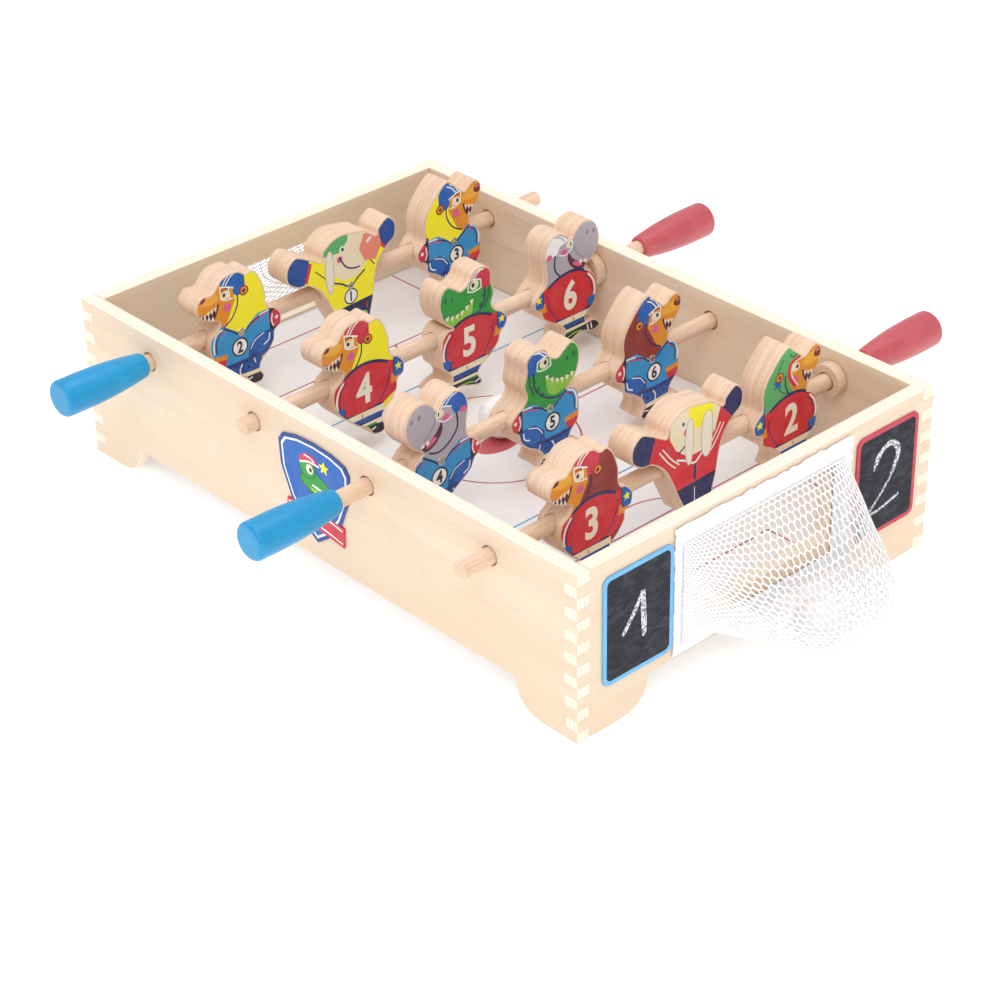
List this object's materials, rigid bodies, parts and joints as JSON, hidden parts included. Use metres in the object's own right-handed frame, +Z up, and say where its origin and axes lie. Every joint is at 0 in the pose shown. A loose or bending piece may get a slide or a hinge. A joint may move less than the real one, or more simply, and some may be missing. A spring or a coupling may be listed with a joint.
{
  "type": "foosball table",
  "caption": "Small wooden table football box with finger joints, sliding rods, cut-out animal players, turned handles, net pockets and chalk score boards.",
  "frame": {"origin": "on the floor under the middle of the box", "axes": "+X along the box to the end with the score boards, +Y to the red team's handles, +Z up"},
  "size_m": [0.5306, 0.452, 0.1305],
  "materials": {
    "birch_plywood": "satin clear-lacquered birch plywood",
    "beech": "sanded beech with open grain",
    "printed_beech": "sanded beech with printed faces",
    "laminated_board": "white laminate on fibreboard",
    "blue_lacquer": "satin lacquer on turned wood",
    "red_lacquer": "satin lacquer on turned wood",
    "zinc_plated_steel": "zinc plated",
    "netting": "white knitted polyester net",
    "binding": "white knitted tape",
    "blackboard": "matt blackboard print with a coloured border",
    "printed_badge": "printed film",
    "white_plastic": "matt moulded plastic"
  },
  "bodies": {
    "root": {"side_panel_blue": "birch_plywood", "side_panel_red": "birch_plywood", "end_panel_score": "birch_plywood", "end_panel_plain": "birch_plywood", "pitch_board": "laminated_board", "net_score": "netting", "net_plain": "netting", "net_binding_score": "binding", "net_binding_plain": "binding", "score_board_blue": "blackboard", "score_board_red": "blackboard", "shield_badge": "printed_badge"},
    "blue_keeper_ring": {"blue_keeper_ring": "beech"},
    "blue_keeper_rod": {"blue_keeper_rod": "beech", "blue_keeper_handle": "blue_lacquer", "blue_player_2": "printed_beech", "blue_player_1": "printed_beech", "blue_player_3": "printed_beech", "blue_screw_2": "zinc_plated_steel", "blue_screw_1": "zinc_plated_steel", "blue_screw_3": "zinc_plated_steel"},
    "red_attack_ring": {"red_attack_ring": "beech"},
    "red_attack_rod": {"red_attack_rod": "beech", "red_attack_handle": "red_lacquer", "red_player_4": "printed_beech", "red_player_5": "printed_beech", "red_player_6": "printed_beech", "red_screw_4": "zinc_plated_steel", "red_screw_5": "zinc_plated_steel", "red_screw_6": "zinc_plated_steel"},
    "blue_attack_ring": {"blue_attack_ring": "beech"},
    "blue_attack_rod": {"blue_attack_rod": "beech", "blue_attack_handle": "blue_lacquer", "blue_player_4": "printed_beech", "blue_player_5": "printed_beech", "blue_player_6": "printed_beech", "blue_screw_4": "zinc_plated_steel", "blue_screw_5": "zinc_plated_steel", "blue_screw_6": "zinc_plated_steel"},
    "red_keeper_ring": {"red_keeper_ring": "beech"},
    "red_keeper_rod": {"red_keeper_rod": "beech", "red_keeper_handle": "red_lacquer", "red_player_3": "printed_beech", "red_player_1": "printed_beech", "red_player_2": "printed_beech", "red_screw_3": "zinc_plated_steel", "red_screw_1": "zinc_plated_steel", "red_screw_2": "zinc_plated_steel"},
    "ball_in_play": {"ball_in_play": "white_plastic"},
    "ball_in_net": {"ball_in_net": "white_plastic"}
  },
  "joints": [
    {"name": "blue_keeper_spin", "type": "hinge", "parent": "root", "child": "blue_keeper_ring", "pos_m": [-0.147, 0, 0.0875], "axis": [0, 1, 0], "continuous": true},
    {"name": "blue_keeper_slide", "type": "slide", "parent": "blue_keeper_ring", "child": "blue_keeper_rod", "axis": [0, 1, 0], "range_m": [-0.0202, 0.0042]},
    {"name": "red_attack_spin", "type": "hinge", "parent": "root", "child": "red_attack_ring", "pos_m": [-0.049, 0, 0.0875], "axis": [0, 1, 0], "continuous": true},
    {"name": "red_attack_slide", "type": "slide", "parent": "red_attack_ring", "child": "red_attack_rod", "axis": [0, 1, 0], "range_m": [-0.0282, 0.0004]},
    {"name": "blue_attack_spin", "type": "hinge", "parent": "root", "child": "blue_attack_ring", "pos_m": [0.049, 0, 0.0875], "axis": [0, 1, 0], "continuous": true},
    {"name": "blue_attack_slide", "type": "slide", "parent": "blue_attack_ring", "child": "blue_attack_rod", "axis": [0, 1, 0], "range_m": [-0.0064, 0.0222]},
    {"name": "red_keeper_spin", "type": "hinge", "parent": "root", "child": "red_keeper_ring", "pos_m": [0.147, 0, 0.0875], "axis": [0, 1, 0], "continuous": true},
    {"name": "red_keeper_slide", "type": "slide", "parent": "red_keeper_ring", "child": "red_keeper_rod", "axis": [0, 1, 0], "range_m": [-0.0162, 0.0164]},
    {"name": "ball_in_play_roll", "type": "slide", "parent": "root", "child": "ball_in_play", "axis": [0, 1, 0], "range_m": [-0.121, 0.113]},
    {"name": "ball_in_net_roll", "type": "slide", "parent": "root", "child": "ball_in_net", "axis": [0, 1, 0], "range_m": [0, 0.026]}
  ]
}
